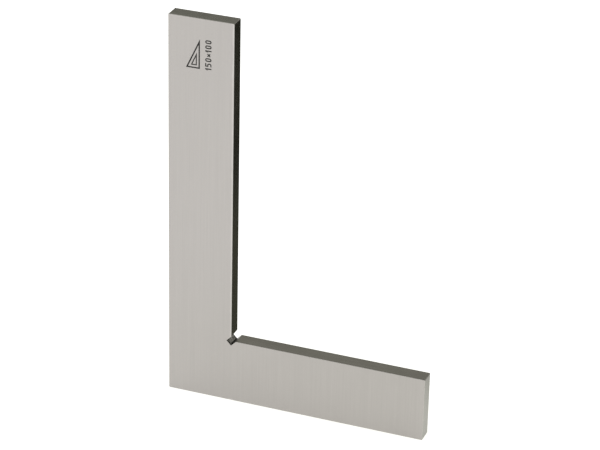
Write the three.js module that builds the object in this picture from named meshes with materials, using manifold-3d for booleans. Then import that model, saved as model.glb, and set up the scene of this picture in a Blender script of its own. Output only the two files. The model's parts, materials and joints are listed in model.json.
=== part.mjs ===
// A precision flat square: one L-shaped plate of hardened steel, ground on every face.
// It is a single piece. The two legs are one plate, so nothing is riveted, screwed or hinged.
//
// Units are millimetres. The square stands on its short leg, with +X along the short leg,
// +Z up the long leg and -Y out of its front face. The origin is the middle of the bottom
// of its bounding box.

import * as THREE from 'three';
import { mergeVertices } from 'three/addons/utils/BufferGeometryUtils.js';
import Module from 'manifold-3d';

// Driving dimensions of the plate
const longLeg = 150; // outer edge, heel to tip
const shortLeg = 100; // outer edge, heel to tip
const legWidth = 25; // both legs, from the outer edge to the inner edge
const thickness = 6;

// Edge breaks
const faceChamfer = 0.1; // along every edge of the two broad faces
const cornerBreak = 0.2; // the heel and the corners at the tips of the legs

// Relief slot, cut at 45 degrees into the inside corner
const slotWidth = 2.5;
const slotDepth = 1.4; // from the inside corner to the slot's floor

// Ground steel
const steelColour = 0xbcb8b2;
const steelRoughness = 0.35;
const steelMetalness = 1;

const wasm = await Module();
wasm.setup();

// A closed geometry as a manifold-3d solid, with its shared vertices merged.
function toSolid(geometry) {
  const bare = geometry.clone();
  bare.deleteAttribute('normal');
  bare.deleteAttribute('uv');
  const merged = mergeVertices(bare);
  return new wasm.Manifold(new wasm.Mesh({
    numProp: 3,
    vertProperties: merged.getAttribute('position').array,
    triVerts: new Uint32Array(merged.index.array),
  }));
}

// A manifold-3d solid as a three.js geometry with flat faces.
function toGeometry(solid) {
  const mesh = solid.getMesh();
  const geometry = new THREE.BufferGeometry();
  geometry.setAttribute('position', new THREE.BufferAttribute(mesh.vertProperties, 3));
  geometry.setIndex(new THREE.BufferAttribute(mesh.triVerts, 1));
  const faceted = geometry.toNonIndexed();
  faceted.computeVertexNormals();
  return faceted;
}

// The point that lies one cut away from a corner, towards its neighbour.
function cutPoint(corner, neighbour, cut) {
  return neighbour.clone().sub(corner).setLength(cut).add(corner);
}

// The L outline, seen on the front face with the heel at (0, 0). Each outer corner is broken.
function squareOutline() {
  const insideCorner = new THREE.Vector2(legWidth, legWidth);
  const corners = [
    new THREE.Vector2(0, 0),
    new THREE.Vector2(shortLeg, 0),
    new THREE.Vector2(shortLeg, legWidth),
    insideCorner,
    new THREE.Vector2(legWidth, longLeg),
    new THREE.Vector2(0, longLeg),
  ];
  const points = corners.flatMap((corner, i) => {
    if (corner === insideCorner) return [corner];
    const neighbours = [corners.at(i - 1), corners[(i + 1) % corners.length]];
    return neighbours.map((neighbour) => cutPoint(corner, neighbour, cornerBreak));
  });
  return new THREE.Shape(points);
}

// The plate: the outline through the thickness, its mid-plane at zero, chamfered on both faces.
function plateGeometry() {
  const plate = new THREE.ExtrudeGeometry(squareOutline(), {
    depth: thickness - 2 * faceChamfer,
    bevelEnabled: true,
    bevelSegments: 1,
    bevelThickness: faceChamfer,
    bevelSize: faceChamfer,
    bevelOffset: -faceChamfer,
  });
  plate.translate(0, 0, faceChamfer - thickness / 2);
  return plate;
}

// The metal that the relief slot takes away: a bar along the corner's diagonal, from the
// slot's floor to beyond the inside corner, and longer than the plate is thick.
function slotGeometry() {
  const reach = slotWidth;
  const bar = new THREE.BoxGeometry(slotDepth + reach, slotWidth, 2 * thickness);
  bar.translate((reach - slotDepth) / 2, 0, 0);
  bar.rotateZ(Math.PI / 4);
  bar.translate(legWidth, legWidth, 0);
  return bar;
}

// The square itself, in the outline's plane.
function squareBodyGeometry() {
  const plate = toSolid(plateGeometry());
  const slot = toSolid(slotGeometry());
  return toGeometry(plate.subtract(slot));
}

function groundSteel() {
  return new THREE.MeshStandardMaterial({
    color: steelColour,
    roughness: steelRoughness,
    metalness: steelMetalness,
  });
}

// The outline's plane stands upright, and its middle goes over the origin.
const squareBody = new THREE.Mesh(squareBodyGeometry(), groundSteel());
squareBody.name = 'square_body';
squareBody.rotation.x = Math.PI / 2;
squareBody.position.x = -shortLeg / 2;

const flatSquare = new THREE.Group();
flatSquare.name = 'flat_square';
flatSquare.add(squareBody);

export default flatSquare;
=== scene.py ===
"""A precision flat square of ground steel, standing on its short leg on a pale studio floor.

Lengths are in metres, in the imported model's own frame: +X runs along the short leg, +Z up the
long leg, and -Y comes out of the marked front face. The square is one piece of steel, so it is
one mesh here too: the CAD solid with its sharp edges eased, a mark etched into its front face,
and a finish of its own for each kind of surface.
"""

import json
import math

import bmesh
import bpy
from mathutils import Matrix, Vector


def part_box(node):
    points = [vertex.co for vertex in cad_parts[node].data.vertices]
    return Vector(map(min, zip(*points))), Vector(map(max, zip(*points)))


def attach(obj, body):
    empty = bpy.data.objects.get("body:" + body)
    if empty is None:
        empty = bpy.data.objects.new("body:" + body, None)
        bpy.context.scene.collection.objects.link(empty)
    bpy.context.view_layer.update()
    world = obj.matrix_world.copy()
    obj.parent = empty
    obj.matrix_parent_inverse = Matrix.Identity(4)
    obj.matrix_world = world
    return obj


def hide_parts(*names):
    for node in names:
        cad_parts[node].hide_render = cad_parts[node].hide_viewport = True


MM = 0.001
MICRON = 0.000001

NODE = "square_body"
BODY = "root"

# Edges
EDGE_ROUND = 0.04 * MM  # radius of the rounding that stoning leaves on every sharp edge
EDGE_SEGMENTS = 2
SLOT_REACH = 4 * MM  # the relief slot lies this near the inside corner
SLOT_WIDTH = 2.5 * MM
SQUARE_ON = 0.999  # a face's normal is along an axis when its part along that axis is over this
SAME_POINT = 0.001 * MM

# The etched mark, read with the long leg lying down and its tip to the right, in mm
MARK_DEPTH = 0.04
MARK_FROM_TIP = 7.7  # from the tip of the long leg to the mark
MARK_LENGTH = 11.3
MARK_BASELINE = 16.5  # the digits' feet, from the outer edge
DIGIT_HEIGHT = 2.4
DIGIT_WIDTH = 1.35
DIGIT_STROKE = 0.44
SIGN_FOOT = 4.4  # the set-square sign's long side, above the baseline
SIGN_HEIGHT = 5.3
SIGN_LINES = (0.52, 0.42)  # outer and inner line
SIGN_GAP = 1.15  # from the outside of the outer line to the outside of the inner one
ARC_STEPS = 10

# Finishes. Widths are in mm. A line is one grinding mark, of that width and run, and a band is
# a pass of the wheel. A tone is how far the colour swings. Relief is the lines' height in
# microns. Painted edge tone is how much brighter the finish is painted beside an edge, a painted
# highlight, and below 0 how much darker, a painted shade. Painted inner highlight is how much more
# painted highlight it gets beside the long leg's inner edge.
# Grazing is how bright its grazing reflections are, where 1 is a perfect metal's.
FINISHES = {
    "ground_face": {
        "colour": (0.417, 0.398, 0.386), "roughness": 0.34, "anisotropy": 0.5,
        "line": 0.16, "run": 26, "line_tone": 0.04, "band": 2.6, "band_tone": 0.012,
        "mottle": 17, "mottle_tone": 0.025, "relief": 0.8, "painted_edge_tone": 0.005, "painted_inner_highlight": 0.205,
        "grazing": 0.6,
    },
    "lapped_edge": {
        "colour": (0.465, 0.447, 0.42), "roughness": 0.16, "anisotropy": 0.3,
        "line": 0.12, "run": 18, "line_tone": 0.06, "band": 1.1, "band_tone": 0.04,
        "mottle": 9, "mottle_tone": 0.03, "relief": 0.3, "painted_edge_tone": -0.1, "painted_inner_highlight": 0.0,
        "grazing": 0.6,
    },
    "ground_tip": {
        "colour": (0.37, 0.363, 0.335), "roughness": 0.26, "anisotropy": 0.3,
        "line": 0.12, "run": 5, "line_tone": 0.08, "band": 0.9, "band_tone": 0.05,
        "mottle": 4, "mottle_tone": 0.05, "relief": 0.8, "painted_edge_tone": -0.05, "painted_inner_highlight": 0.0,
        "grazing": 0.75,
    },
    "stoned_chamfer": {
        "colour": (0.45, 0.435, 0.415), "roughness": 0.28, "anisotropy": 0.3,
        "line": 0.08, "run": 6, "line_tone": 0.08, "band": 0.5, "band_tone": 0.05,
        "mottle": 5, "mottle_tone": 0.06, "relief": 0.5, "painted_edge_tone": 0.0, "painted_inner_highlight": 0.0,
        "grazing": 0.6,
    },
}
# the slot's material: dark scale, with painted shade along the slot floor's edges
SCALE = "slot_scale_and_shade"
ETCH = "etched_mark"
GRAIN_MAP = "grain"

# Wear, the same on every finish, and the reach of the painted highlight and shade beside the edges.
# Sizes are in mm, and depths and heights in microns.
SCRATCHES = ((34, 9), (-57, 5))  # each one's angle to the grain in degrees, and its length
SCRATCH_WIDTH = 0.09
SCRATCH_CUT = (0.82, 1.0)  # noise is a scratch only from here up
SCRATCH_TONE = 0.06
SCRATCH_DEPTH = 1.0
NICK_SIZE = 0.7
NICK_CUT = (0.55, 0.9)
NICK_TONE = 0.22
NICK_DEPTH = 6.0
RUB_AND_PAINT_REACH = (0.75 * MM, 0.2 * MM)  # how far from an edge the rubbing and the painted highlight and shade start and are whole
RUB_AND_PAINT_RAGGED = 0.2 * MM  # how far the limit of the rubbing and of the painted highlight and shade wanders
# how far from the long leg's inner edge its painted highlight starts and is whole
INNER_HIGHLIGHT_REACH = (1.3 * MM, 0.9 * MM)

# The scale in the relief slot, and the painted shade along the slot floor's edges
SCALE_AND_SHADE_DARK = (0.045, 0.043, 0.04)
SCALE_BARE = (0.56, 0.545, 0.52)
SCALE_MIDDLE = (0.25 * MM, 0.7 * MM)  # from the slot's edge, where the bare steel starts and is whole; nearer the edge the floor stays dark, a painted shade
SCALE_METAL = 0.85
SCALE_ROUGHNESS = 0.52

ETCH_COLOUR = (0.02, 0.019, 0.018)
ETCH_METAL = 0.2
ETCH_ROUGHNESS = 0.62
NOISE_STRETCH = 4.0  # brings noise, which seldom leaves the middle half of 0 to 1, to -1 to 1
MIX_SHARE, MIX_FIRST, MIX_SECOND, MIX_RESULT = 0, 6, 7, 2  # the colour sockets of a Mix node

# Camera
CAMERA_AT = Vector((0.2773, -0.7522, 0.4704))
CAMERA_AZIMUTH = 20.253
CAMERA_ELEVATION = 26.193
CAMERA_ROLL = -1.321
CAMERA_LENS = 150.3

# Studio
FLOOR_SIZE = 8
FLOOR_ALBEDO = 0.8
FLOOR_GLOW = (0.85, 0.85, 0.85)  # the floor is lit from below too, so that shadows stay faint
FOOT_SHADOW_GLOW = (0.757, 0.757, 0.727)  # a painted shadow: the glow is a little weaker beside the square, most so at its tip
FOOT_REACH = (140 * MM, 45 * MM)  # how far from the square the one glow ends and the other is whole
FOOT_SPAN = (-160 * MM, 40 * MM)  # and the same along the short leg
# The strip: a dark glowing sheet, seen only in reflections, that paints a dark reflection into the
# square's narrow faces.
STRIP_COLOUR = (0.033, 0.034, 0.024)
STRIP_NEAR_GAIN = 1.35  # how much lighter the strip's near end is, on top of 1
STRIP_GAIN_REACH = (165 * MM, 75 * MM)  # how far along it that starts and is whole
STRIP_LEFT = 45 * MM  # the strip's width at its near end, to each side of its line
STRIP_RIGHT = 72 * MM
STRIP_SPREAD = 0.35  # how fast it widens on each side
STRIP_SOFT = 40 * MM  # how far in from its sides it is whole
STRIP_START = (-20 * MM, 5 * MM)  # where it fades in
STRIP_LENGTH = 800 * MM
STRIP_LIFT = 0.2 * MM
CEILING_HEIGHT = 3.5
CEILING_POWER = 90
SKY = (0.305, 0.305, 0.27)
BACKDROP_RADIUS = 6

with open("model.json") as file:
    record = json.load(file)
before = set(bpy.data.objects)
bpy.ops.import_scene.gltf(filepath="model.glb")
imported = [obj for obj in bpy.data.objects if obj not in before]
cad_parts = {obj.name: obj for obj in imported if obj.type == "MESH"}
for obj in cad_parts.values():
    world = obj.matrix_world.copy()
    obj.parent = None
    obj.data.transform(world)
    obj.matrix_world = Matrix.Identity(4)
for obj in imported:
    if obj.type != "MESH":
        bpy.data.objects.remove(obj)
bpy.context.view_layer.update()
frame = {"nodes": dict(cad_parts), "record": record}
box_low, box_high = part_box(NODE)
mounts = {m["name"]: Vector(m["pos_m"]) for m in frame["record"]["mounts"]}
inside_corner = Vector((mounts["inner_long_edge"].x, 0, mounts["inner_short_edge"].z))


# ---------------------------------------------------------------- materials

class Nodes:
    """Short calls that add nodes to one material."""

    def __init__(self, name):
        self.material = bpy.data.materials.new(name)
        self.material.use_nodes = True
        self.tree = self.material.node_tree
        self.shader = self.tree.nodes["Principled BSDF"]
        self.place = self.add("TexCoord", output="Object")

    def plug(self, node, values):
        for socket, value in values.items():
            if isinstance(value, bpy.types.NodeSocket):
                self.tree.links.new(value, node.inputs[socket])
            else:
                node.inputs[socket].default_value = value

    def add(self, kind, values=None, output=0, **settings):
        node = self.tree.nodes.new("ShaderNode" + kind)
        for name, value in settings.items():
            setattr(node, name, value)
        self.plug(node, values or {})
        return node.outputs[output]

    def math(self, operation, *values):
        return self.add("Math", dict(enumerate(values)), operation=operation)

    def fold(self, operation, first, *others):
        """One operation over any number of values, such as their sum or the least of them."""
        for other in others:
            first = self.math(operation, first, other)
        return first

    def total(self, *values):
        return self.fold("ADD", *values)

    def times(self, first, second):
        return self.math("MULTIPLY", first, second)

    def noise(self, place, *sizes, detail=2.0):
        """Noise between -1 and 1 whose spots have these sizes in mm along the place's axes."""
        scale = [1 / (size * MM) for size in sizes]
        stretched = self.add("VectorMath", {0: place, 1: scale}, operation="MULTIPLY")
        value = self.add("TexNoise", {"Vector": stretched, "Scale": 1.0, "Detail": detail})
        return self.math("MULTIPLY_ADD", value, NOISE_STRETCH, -NOISE_STRETCH / 2)

    def even_noise(self, size, detail=3.0):
        return self.noise(self.place, size, size, size, detail=detail)

    def ramp(self, value, start, end):
        """0 where the value is at start, 1 where it is at end, and smooth between."""
        limits = {"Value": value, "From Min": start, "From Max": end}
        return self.add("MapRange", limits, interpolation_type="SMOOTHSTEP")

    def blend(self, share, first, second):
        """The first colour where share is 0, and the second where it is 1."""
        colours = {MIX_SHARE: share, MIX_FIRST: (*first, 1), MIX_SECOND: (*second, 1)}
        return self.add("Mix", colours, output=MIX_RESULT, data_type="RGBA")

    def shade(self, colour, tone):
        """A colour made darker or lighter by a tone that is 1 where it stays."""
        return self.add("VectorMath", {0: colour, "Scale": tone}, operation="SCALE")

    def hairlines(self, angle, length):
        """Sparse scratches that lie at an angle to the grain: 1 on a scratch and 0 beside it."""
        turned = self.add("VectorRotate", {"Vector": self.grain, "Angle": math.radians(angle)},
                          rotation_type="Z_AXIS")
        return self.ramp(self.noise(turned, SCRATCH_WIDTH, length, 1, detail=1.0), *SCRATCH_CUT)

    def bump(self, height):
        """A normal from a height in microns."""
        return self.add("Bump", {"Strength": 1.0, "Distance": MICRON, "Height": height})


def inside_box(nodes, x, z, low, high):
    """How far inside an upright rectangle a point is, in metres, and below 0 outside it."""
    ways = [nodes.math("SUBTRACT", x, low.x), nodes.math("SUBTRACT", high.x, x),
            nodes.math("SUBTRACT", z, low.z), nodes.math("SUBTRACT", high.z, z)]
    return nodes.fold("MINIMUM", *ways)


def edge_distance(nodes):
    """How far a point of the surface is from the nearest sharp edge.

    On a broad face that is the way in from the outline, and on a narrow one the way in from a
    broad face. The outline is that of two crossed bars, the long leg and the short one.
    """
    split = nodes.add("SeparateXYZ", {0: nodes.place}).node
    x, y, z = split.outputs
    long_leg = inside_box(nodes, x, z, box_low, Vector((inside_corner.x, 0, box_high.z)))
    short_leg = inside_box(nodes, x, z, box_low, Vector((box_high.x, 0, inside_corner.z)))
    front = nodes.math("SUBTRACT", y, box_low.y)
    back = nodes.math("SUBTRACT", box_high.y, y)
    return nodes.fold("MAXIMUM", long_leg, short_leg, nodes.math("MINIMUM", front, back))


def beside_inner_edge(nodes):
    """1 on the strip that lies beside the long leg's inner edge, where a painted highlight goes, and
    0 away from it.
    """
    x = nodes.add("SeparateXYZ", {0: nodes.place})
    away = nodes.math("ABSOLUTE", nodes.math("SUBTRACT", x, inside_corner.x))
    return nodes.ramp(away, *INNER_HIGHLIGHT_REACH)


def steel(name):
    """Steel with grinding lines, passes of the wheel, light scratches and rubbed edges, with painted
    highlight and shade beside its edges.
    """
    finish = FINISHES[name]
    nodes = Nodes(name)
    nodes.grain = nodes.add("UVMap", uv_map=GRAIN_MAP)
    line, run = finish["line"], finish["run"]
    lines = nodes.noise(nodes.grain, line, run, 1)
    grooves = nodes.noise(nodes.grain, 4 * line, 2.5 * run, 1)
    bands = nodes.noise(nodes.grain, finish["band"], 6 * run, 1)
    mottle = nodes.even_noise(finish["mottle"], detail=4.0)
    scratches = nodes.fold("MAXIMUM", *(nodes.hairlines(*scratch) for scratch in SCRATCHES))
    nicks = nodes.ramp(nodes.even_noise(NICK_SIZE), *NICK_CUT)

    # near the edges: rubbed, which makes the steel smoother and holds the nicks, and painted lighter
    # on the broad faces and darker on the narrow faces and tips, a painted highlight and shade
    ragged = nodes.total(edge_distance(nodes), nodes.times(nodes.even_noise(2.5), RUB_AND_PAINT_RAGGED))
    rubbed_and_painted_edges = nodes.ramp(ragged, *RUB_AND_PAINT_REACH)
    nicked = nodes.times(rubbed_and_painted_edges, nicks)
    # a painted highlight beside the long leg's inner edge
    painted_inner_highlight = nodes.times(rubbed_and_painted_edges, beside_inner_edge(nodes))

    tone = nodes.total(1.0, nodes.times(lines, finish["line_tone"]),
                       nodes.times(grooves, 0.4 * finish["line_tone"]),
                       nodes.times(bands, finish["band_tone"]),
                       nodes.times(mottle, finish["mottle_tone"]),
                       nodes.times(scratches, SCRATCH_TONE),
                       # the next two terms are painted highlight and shade beside the edges, and the
                       # painted highlight beside the long leg's inner edge
                       nodes.times(rubbed_and_painted_edges, finish["painted_edge_tone"]),
                       nodes.times(painted_inner_highlight, finish["painted_inner_highlight"]),
                       nodes.times(nicked, -NICK_TONE))
    roughness = nodes.total(finish["roughness"],
                            nodes.times(lines, 0.04),
                            nodes.times(mottle, 0.03),
                            nodes.times(rubbed_and_painted_edges, -0.05),
                            nodes.times(nicked, 0.12))
    height = nodes.total(nodes.times(lines, finish["relief"]),
                         nodes.times(grooves, finish["relief"]),
                         nodes.times(scratches, -SCRATCH_DEPTH),
                         nodes.times(nicked, -NICK_DEPTH))
    grazing = finish["grazing"]
    nodes.plug(nodes.shader, {
        "Base Color": nodes.shade(finish["colour"], tone),
        "Metallic": 1.0,
        "Roughness": roughness,
        "Anisotropic": finish["anisotropy"],
        "Specular Tint": (grazing, grazing, grazing, 1),
        "Tangent": nodes.add("Tangent", direction_type="UV_MAP", uv_map=GRAIN_MAP),
        "Normal": nodes.bump(height),
    })
    return nodes.material


def slot_rim(nodes):
    """How far a point of the slot's floor is from the floor's nearest edge."""
    x, y, z = nodes.add("SeparateXYZ", {0: nodes.place}).node.outputs
    off_x = nodes.math("SUBTRACT", x, inside_corner.x)
    off_z = nodes.math("SUBTRACT", z, inside_corner.z)
    off_diagonal = nodes.math("ABSOLUTE", nodes.math("SUBTRACT", off_x, off_z))
    across = nodes.times(off_diagonal, math.sqrt(0.5))
    from_wall = nodes.math("SUBTRACT", SLOT_WIDTH / 2, across)
    from_face = nodes.math("SUBTRACT", box_high.y, nodes.math("ABSOLUTE", y))
    return nodes.math("MINIMUM", from_wall, from_face)


def slot_scale_and_shade():
    """The dark scale of the hardening furnace, which grinding doesn't reach.

    It is rubbed thin in the middle of the slot. Along the slot floor's edges the colour stays dark
    all the way, a painted shade.
    """
    nodes = Nodes(SCALE)
    patches = nodes.even_noise(0.9, detail=4.0)
    grit = nodes.even_noise(0.12, detail=2.0)
    along = nodes.noise(nodes.place, 0.18, 2.5, 0.18, detail=2.0)
    ragged = nodes.total(slot_rim(nodes), nodes.times(patches, 0.1 * MM))
    # the floor stays dark along its edges: painted shade
    middle = nodes.ramp(ragged, *SCALE_MIDDLE)
    thin = nodes.ramp(nodes.total(patches, nodes.times(along, 0.5)), -1.2, 0.8)
    bare = nodes.times(middle, thin)
    colour = nodes.blend(bare, SCALE_AND_SHADE_DARK, SCALE_BARE)
    nodes.plug(nodes.shader, {
        "Base Color": nodes.shade(colour, nodes.total(1.0, nodes.times(grit, 0.25))),
        "Metallic": SCALE_METAL,
        "Roughness": nodes.total(SCALE_ROUGHNESS, nodes.times(bare, -0.14), nodes.times(grit, 0.06)),
        "Normal": nodes.bump(nodes.total(nodes.times(grit, 2.0), nodes.times(patches, 6.0))),
    })
    return nodes.material


def etched():
    """The dark, dull floor that the etch leaves."""
    nodes = Nodes(ETCH)
    pits = nodes.even_noise(0.11)
    cloud = nodes.even_noise(0.8)
    tone = nodes.total(1.0, nodes.times(pits, 0.3), nodes.times(cloud, 0.25))
    nodes.plug(nodes.shader, {
        "Base Color": nodes.shade(ETCH_COLOUR, tone),
        "Metallic": ETCH_METAL,
        "Roughness": nodes.total(ETCH_ROUGHNESS, nodes.times(pits, 0.08)),
        "Normal": nodes.bump(nodes.times(pits, 2.0)),
    })
    return nodes.material


# ---------------------------------------------------------------- the mark's outlines, in mm

def offset(points, distance, closed):
    """The line moved sideways by distance, to its left if that is positive, with mitred corners."""
    moved = []
    last = len(points) - 1
    for i, point in enumerate(points):
        before = points[i - 1] if i > 0 or closed else None
        after = points[(i + 1) % len(points)] if i < last or closed else None
        sides = [(b - a).normalized() for a, b in ((before, point), (point, after)) if a and b]
        normals = [Vector((-side.y, side.x)) for side in sides]
        mitre = (normals[0] + normals[-1]).normalized()
        moved.append(point + mitre * distance / mitre.dot(normals[0]))
    return moved


def stroke(points, width):
    """The outline of an open line of that width."""
    return [offset(points, width / 2, False) + offset(points, -width / 2, False)[::-1]]


def ring(points, width):
    """The two outlines of a closed line of that width, whose outside is the given points."""
    return [points, offset(points, width, True)]


def arc(centre, radius_x, radius_y, start, end):
    """Points on an elliptical arc, from one angle to another in degrees."""
    angles = [math.radians(start + (end - start) * i / ARC_STEPS) for i in range(ARC_STEPS + 1)]
    return [centre + Vector((radius_x * math.cos(a), radius_y * math.sin(a))) for a in angles]


def digit_one():
    width, height, pen = DIGIT_WIDTH * 0.55, DIGIT_HEIGHT, DIGIT_STROKE
    outline = [(width, 0), (width, height), (width - pen, height), (0, height - width),
               (0, height - width - 1.3 * pen), (width - pen, height - 1.5 * pen), (width - pen, 0)]
    return [[Vector(p) for p in outline]], width


def digit_five():
    width, height, pen = DIGIT_WIDTH, DIGIT_HEIGHT, DIGIT_STROKE
    half = pen / 2
    waist = 0.58 * height
    bowl_middle = Vector((width / 2, (waist + half) / 2))
    bowl = arc(bowl_middle, width / 2 - half, (waist - half) / 2, 90, -90)
    line = [Vector((width, height - half)), Vector((half, height - half)), Vector((half, waist))]
    return stroke(line + bowl + [Vector((0, half))], pen), width


def digit_zero():
    width, height, pen = DIGIT_WIDTH, DIGIT_HEIGHT, DIGIT_STROKE
    radius = width / 2
    low = arc(Vector((radius, radius)), radius, radius, 180, 360)
    high = arc(Vector((radius, height - radius)), radius, radius, 0, 180)
    return ring(low + high, pen), width


def times_sign():
    arm, half = DIGIT_WIDTH * 0.55, DIGIT_STROKE / 2
    middle = Vector((arm * math.cos(math.pi / 4), DIGIT_HEIGHT * 0.42))
    corners = []
    for quarter in range(4):
        turn = Matrix.Rotation(math.pi / 4 + quarter * math.pi / 2, 2)
        corners += [middle + turn @ Vector(p) for p in ((arm, -half), (arm, half), (half, half))]
    return [corners], 2 * middle.x


def size_line():
    """The square's two lengths, spread over the mark's length."""
    signs = [digit_one(), digit_five(), digit_zero(), times_sign(),
             digit_one(), digit_zero(), digit_zero()]
    gap = (MARK_LENGTH - sum(width for _, width in signs)) / (len(signs) - 1)
    outlines, start = [], 0.0
    for shape, width in signs:
        outlines += [[p + Vector((start, 0)) for p in outline] for outline in shape]
        start += width + gap
    return outlines


def set_square_sign():
    """A drawing triangle in two lines, standing for a right angle."""
    top = SIGN_FOOT + SIGN_HEIGHT
    outside = [Vector((0, SIGN_FOOT)), Vector((MARK_LENGTH, SIGN_FOOT)), Vector((0, top))]
    inside = offset(outside, SIGN_GAP, True)
    return ring(outside, SIGN_LINES[0]) + ring(inside, SIGN_LINES[1])


# ---------------------------------------------------------------- the square

def linked(name, data):
    made = bpy.data.objects.new(name, data)
    bpy.context.scene.collection.objects.link(made)
    return made


def final_mesh(source, name):
    """The mesh of an object with its modifiers applied."""
    depsgraph = bpy.context.evaluated_depsgraph_get()
    mesh = bpy.data.meshes.new_from_object(source.evaluated_get(depsgraph))
    mesh.name = name
    return mesh


def edit(mesh, change):
    """Runs a change on a mesh's bmesh and writes it back, with no doubled or stray points."""
    shape = bmesh.new()
    shape.from_mesh(mesh)
    change(shape)
    bmesh.ops.remove_doubles(shape, verts=shape.verts, dist=SAME_POINT)
    bmesh.ops.dissolve_degenerate(shape, edges=shape.edges, dist=SAME_POINT)
    shape.to_mesh(mesh)
    shape.free()


def mark_cutter():
    """A closed solid of the mark, half in and half out of the front face."""
    curve = bpy.data.curves.new("mark_outlines", "CURVE")
    curve.dimensions = "2D"
    curve.fill_mode = "BOTH"
    curve.extrude = MARK_DEPTH * MM
    for outline in size_line() + set_square_sign():
        spline = curve.splines.new("POLY")
        spline.points.add(len(outline) - 1)
        for point, place in zip(spline.points, outline):
            point.co = (place.x * MM, place.y * MM, 0, 1)
        spline.use_cyclic_u = True
    flat = linked("mark_flat", curve)
    mesh = final_mesh(flat, "mark_cutter")
    bpy.data.objects.remove(flat)

    reading = Vector((0, 0, 1))
    above = Vector((-1, 0, 0))
    turn = Matrix((reading, above, reading.cross(above))).transposed().to_4x4()
    start = Vector((box_low.x + MARK_BASELINE * MM, box_low.y,
                    box_high.z - (MARK_FROM_TIP + MARK_LENGTH) * MM))
    mesh.transform(Matrix.Translation(start) @ turn)
    # The doubled points go first, so that the faces are joined when their normals are worked out
    edit(mesh, lambda shape: None)
    edit(mesh, lambda shape: bmesh.ops.recalc_face_normals(shape, faces=shape.faces))
    mesh.materials.append(etched())
    return linked("mark_cutter", mesh)


def ease(shape):
    """Makes each flat face one face again and rounds every sharp edge."""
    bmesh.ops.remove_doubles(shape, verts=shape.verts, dist=SAME_POINT)
    bmesh.ops.dissolve_limit(shape, angle_limit=math.radians(1), verts=shape.verts, edges=shape.edges)
    bmesh.ops.bevel(shape, geom=shape.edges, offset=EDGE_ROUND, segments=EDGE_SEGMENTS, profile=0.5,
                    affect="EDGES", clamp_overlap=True)


def in_slot(point):
    from_corner = Vector((point.x - inside_corner.x, point.z - inside_corner.z))
    return from_corner.length < SLOT_REACH and from_corner.x + from_corner.y < 0


def finish_of(face):
    """Which finish a face has, from the way it faces and where it is."""
    across, out, up = (abs(part) > SQUARE_ON for part in face.normal)
    middle = face.calc_center_median()
    if out:
        return "ground_face"
    if in_slot(middle):
        return SCALE
    if across or up:
        at_tip = middle.x if across else middle.z
        tip = box_high.x if across else box_high.z
        return "ground_tip" if tip - at_tip < SAME_POINT else "lapped_edge"
    return "stoned_chamfer"


def grain_of(face):
    """The direction that the grinding marks run in."""
    out, on_side = abs(face.normal.y), abs(face.normal.x) > abs(face.normal.z)
    return Vector((0, 0, 1)) if on_side or out > SQUARE_ON else Vector((1, 0, 0))


def finish_surfaces(shape, names):
    """Gives each face its material, and the grain map: V along the grinding marks and U across."""
    grain_map = shape.loops.layers.uv.new(GRAIN_MAP)
    for face in shape.faces:
        if names[face.material_index] != ETCH:
            face.material_index = names.index(finish_of(face))
        along = grain_of(face)
        across = along.cross(face.normal).normalized()
        for loop in face.loops:
            loop[grain_map].uv = (loop.vert.co.dot(across), loop.vert.co.dot(along))


def square():
    mesh = frame["nodes"][NODE].data.copy()
    mesh.materials.clear()
    for material in [*(steel(name) for name in FINISHES), slot_scale_and_shade()]:
        mesh.materials.append(material)
    edit(mesh, ease)
    plate = linked("steel_square", mesh)
    cutter = mark_cutter()
    cut = plate.modifiers.new("mark", "BOOLEAN")
    cut.operation = "DIFFERENCE"
    cut.solver = "EXACT"
    cut.material_mode = "TRANSFER"
    cut.object = cutter
    marked = final_mesh(plate, "steel_square")
    plate.modifiers.clear()
    plate.data = marked
    bpy.data.objects.remove(cutter)
    names = [material.name for material in marked.materials]
    edit(marked, lambda shape: finish_surfaces(shape, names))
    return plate


body = square()
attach(body, BODY)
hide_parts(NODE)


# ---------------------------------------------------------------- floor, light and camera

def glow(name, colour, albedo=0.0):
    """The nodes of a matt material that gives off light of that colour."""
    nodes = Nodes(name)
    nodes.plug(nodes.shader, {
        "Base Color": (albedo, albedo, albedo, 1),
        "Roughness": 0.9,
        "Specular IOR Level": 0.0,
        "Emission Color": (*colour, 1),
        "Emission Strength": 1.0,
    })
    return nodes


def seen_only_by(thing, ray):
    """Hides a thing of the studio from every kind of ray but one."""
    for kind in ("camera", "diffuse", "glossy", "transmission", "volume_scatter", "shadow"):
        setattr(thing, "visible_" + kind, kind == ray)


def flat_sheet(name, corners, material):
    mesh = bpy.data.meshes.new(name)
    mesh.from_pydata(corners, [], [range(len(corners))])
    mesh.materials.append(material)
    sheet = linked(name, mesh)
    return sheet


def floor():
    half = FLOOR_SIZE / 2
    plan = ((-half, -half), (half, -half), (half, half), (-half, half))
    corners = [(x, y, box_low.z) for x, y in plan]
    paint = glow("floor_paint", FLOOR_GLOW, FLOOR_ALBEDO)
    x, y, _ = paint.add("SeparateXYZ", {0: paint.place}).node.outputs
    # the glow is weaker beside the square: a painted shadow on the floor
    beside = paint.ramp(paint.math("ABSOLUTE", y), *FOOT_REACH)
    near_foot = paint.times(beside, paint.ramp(x, *FOOT_SPAN))
    paint.plug(paint.shader, {"Emission Color": paint.blend(near_foot, FLOOR_GLOW, FOOT_SHADOW_GLOW)})
    flat_sheet("floor", corners, paint.material)


def reflected_spot(height):
    """The spot on the floor that the camera sees in the long leg's inner edge, at that height."""
    on_edge = Vector((inside_corner.x, 0, height))
    mirrored = Vector((2 * inside_corner.x - CAMERA_AT.x, CAMERA_AT.y, CAMERA_AT.z))
    return on_edge + (on_edge - mirrored) * (height - box_low.z) / (mirrored.z - height)


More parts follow.
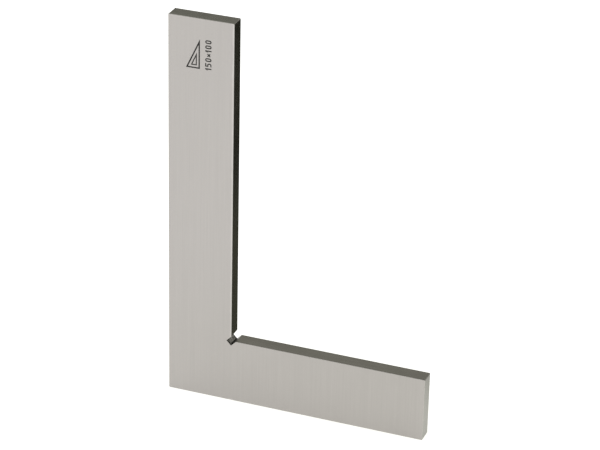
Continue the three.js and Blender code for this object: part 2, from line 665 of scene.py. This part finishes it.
def painted_reflection_paint():
    """Dark paint that glows a little, for a painted reflection, lighter at the strip's near end, that
    fades out towards the strip's sides.
    """
    paint = glow("painted_reflection_paint", STRIP_COLOUR)
    x, y, _ = paint.add("SeparateXYZ", {0: paint.place}).node.outputs
    widening = paint.times(y, STRIP_SPREAD)
    left = paint.total(x, widening, STRIP_LEFT)
    right = paint.math("SUBTRACT", paint.total(widening, STRIP_RIGHT), x)
    sides = paint.ramp(paint.math("MINIMUM", left, right), 0.0, STRIP_SOFT)
    start = paint.ramp(y, *STRIP_START)
    gain = paint.times(paint.ramp(y, *STRIP_GAIN_REACH), STRIP_NEAR_GAIN)
    paint.plug(paint.shader, {
        "Alpha": paint.times(sides, start),
        "Emission Strength": paint.total(1.0, gain),
    })
    return paint.material


def painted_reflection_strip():
    """A dark strip on the floor behind the square, which only its reflections show: a painted
    reflection that gives off a dim glow of its own.
    """
    near, far = reflected_spot(inside_corner.z), reflected_spot(box_high.z)
    along = (far - near).normalized()
    side = Vector((along.y, -along.x, 0))
    half = STRIP_RIGHT + STRIP_SPREAD * STRIP_LENGTH
    start, end = STRIP_START[0], STRIP_LENGTH
    corners = [(-half, start, 0), (half, start, 0), (half, end, 0), (-half, end, 0)]
    strip = flat_sheet("painted_reflection_strip", corners, painted_reflection_paint())
    turn = Matrix((side, along, Vector((0, 0, 1)))).transposed().to_4x4()
    strip.matrix_world = Matrix.Translation(near + Vector((0, 0, STRIP_LIFT))) @ turn
    seen_only_by(strip, "glossy")


def backdrop():
    """A white dome that only the camera sees, past the floor's end."""
    mesh = bpy.data.meshes.new("backdrop")
    shape = bmesh.new()
    bmesh.ops.create_uvsphere(shape, u_segments=64, v_segments=32, radius=BACKDROP_RADIUS)
    shape.to_mesh(mesh)
    shape.free()
    mesh.materials.append(glow("backdrop_paint", (1, 1, 1)).material)
    dome = linked("backdrop", mesh)
    seen_only_by(dome, "camera")


def ceiling():
    light = bpy.data.lights.new("ceiling", "AREA")
    light.shape = "SQUARE"
    light.size = FLOOR_SIZE
    light.energy = CEILING_POWER
    linked("ceiling", light).location = (0, 0, CEILING_HEIGHT)


def sky():
    world = bpy.data.worlds.new("sky")
    bpy.context.scene.world = world
    world.use_nodes = True
    world.node_tree.nodes["Background"].inputs["Color"].default_value = (*SKY, 1)


def camera():
    data = bpy.data.cameras.new("camera")
    data.lens = CAMERA_LENS
    eye = linked("camera", data)
    azimuth, elevation = math.radians(CAMERA_AZIMUTH), math.radians(CAMERA_ELEVATION)
    level = math.cos(elevation)
    back = Vector((math.sin(azimuth) * level, -math.cos(azimuth) * level, math.sin(elevation)))
    aim = (-back).to_track_quat("-Z", "Y").to_matrix().to_4x4()
    roll = Matrix.Rotation(math.radians(-CAMERA_ROLL), 4, "Z")
    eye.matrix_world = Matrix.Translation(CAMERA_AT) @ aim @ roll
    bpy.context.scene.camera = eye


floor()
painted_reflection_strip()
backdrop()
ceiling()
sky()
camera()
bpy.context.scene.view_settings.view_transform = "Standard"
